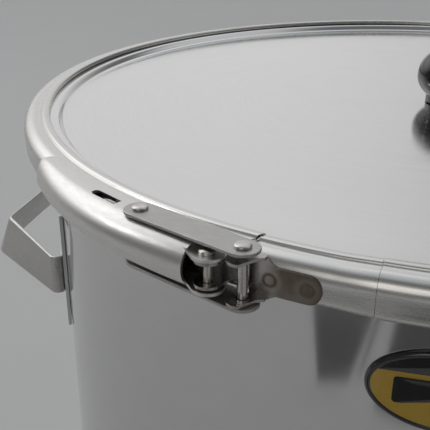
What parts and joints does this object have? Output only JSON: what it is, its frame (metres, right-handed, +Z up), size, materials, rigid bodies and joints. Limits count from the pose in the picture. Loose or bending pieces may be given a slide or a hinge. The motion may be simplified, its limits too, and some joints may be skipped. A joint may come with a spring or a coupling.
{
  "type": "pressure canner",
  "caption": "Wide stainless steel canning pot with recessed lid, lever-lock clamp ring, strap handles, gauge, vent weight and rack.",
  "frame": {"origin": "centre of the base disc's underside, on the surface the pot stands on", "axes": "+Z up the pot's axis, X through the two strap handles, -Y towards the badge; the lever closure is front left"},
  "size_m": [0.583, 0.509, 0.437],
  "materials": {
    "pot_steel": "polished stainless steel",
    "base_steel": "brushed stainless steel",
    "gasket": "moulded silicone",
    "lid_steel": "mirror-polished stainless steel",
    "ring_steel": "roll-formed satin stainless steel",
    "lever_steel": "satin stainless steel",
    "bracket_steel": "heat-tinted stainless steel",
    "pin_steel": "turned stainless steel",
    "link_steel": "tumbled stainless steel",
    "handle_steel": "brushed stainless steel strap",
    "badge_black": "domed gloss black",
    "badge_yellow": "yellow and black print under clear gloss",
    "knob_black": "polished black phenolic",
    "fitting_brass": "turned brass",
    "gauge_steel": "pressed stainless steel",
    "dial_white": "white printed dial",
    "gauge_glass": "clear glass",
    "needle_red": "red painted pointer",
    "plug_rubber": "moulded rubber",
    "rack_aluminium": "pressed aluminium"
  },
  "bodies": {
    "root": {"pot_body": "pot_steel", "base_disc": "base_steel", "rim_gasket": "gasket", "lid": "lid_steel", "handle_left": "handle_steel", "handle_right": "handle_steel", "handle_pad_left_front": "handle_steel", "handle_pad_left_rear": "handle_steel", "handle_pad_right_front": "handle_steel", "handle_pad_right_rear": "handle_steel", "badge_plate": "badge_black", "badge_face": "badge_yellow", "lid_knob": "knob_black", "knob_washer": "pin_steel", "knob_nut": "pin_steel", "knob_stud": "pin_steel", "gauge_nut": "fitting_brass", "gauge_stem": "fitting_brass", "gauge_case": "gauge_steel", "gauge_bezel": "gauge_steel", "gauge_dial": "dial_white", "gauge_lens": "gauge_glass", "vent_nut": "pin_steel", "vent_pipe": "pin_steel", "safety_plug": "plug_rubber", "canning_rack": "rack_aluminium", "rack_foot_0": "rack_aluminium", "rack_foot_1": "rack_aluminium", "rack_foot_2": "rack_aluminium", "rack_foot_3": "rack_aluminium"},
    "ring_left": {"clamp_band_left": "ring_steel", "fulcrum_bracket": "bracket_steel", "fulcrum_pin": "pin_steel", "seal_lug": "ring_steel"},
    "ring_right": {"clamp_band_right": "ring_steel", "clamp_tongue": "ring_steel", "anchor_bracket": "bracket_steel", "anchor_pin": "pin_steel"},
    "lever": {"lever": "lever_steel"},
    "links": {"link_top": "link_steel", "link_bottom": "link_steel", "link_rivet_top": "pin_steel", "link_rivet_bottom": "pin_steel"},
    "needle": {"gauge_needle": "needle_red"},
    "weight": {"vent_weight": "knob_black"}
  },
  "joints": [
    {"name": "ring_left_flex", "type": "hinge", "parent": "root", "child": "ring_left", "pos_m": [0.07541, 0.2436, 0.39], "axis": [0, 0, 1], "range_deg": [-2.9, 0]},
    {"name": "ring_right_flex", "type": "hinge", "parent": "root", "child": "ring_right", "pos_m": [0.07541, 0.2436, 0.39], "axis": [0, 0, 1], "range_deg": [0, 2.9]},
    {"name": "lever_swing", "type": "hinge", "parent": "ring_left", "child": "lever", "pos_m": [-0.08926, -0.24632, 0.39], "axis": [0, 0, 1], "range_deg": [0, 150]},
    {"name": "link_swing", "type": "hinge", "parent": "ring_right", "child": "links", "pos_m": [-0.07657, -0.2469, 0.39], "axis": [0, 0, 1], "range_deg": [0, 47]},
    {"name": "needle_turn", "type": "hinge", "parent": "root", "child": "needle", "pos_m": [0.108, 0.062, 0.429], "axis": [0, 0, 1], "range_deg": [-270, 0], "stiffness_Nm_per_rad": 0.0005},
    {"name": "weight_lift", "type": "slide", "parent": "root", "child": "weight", "axis": [0, 0, 1], "range_m": [0, 0.03]}
  ],
  "couplings": [
    {"joint": "ring_left_flex", "follows": "lever_swing", "ratio": -0.01904},
    {"joint": "ring_right_flex", "follows": "lever_swing", "ratio": 0.01904},
    {"joint": "link_swing", "follows": "lever_swing", "ratio": 0.30932}
  ]
}
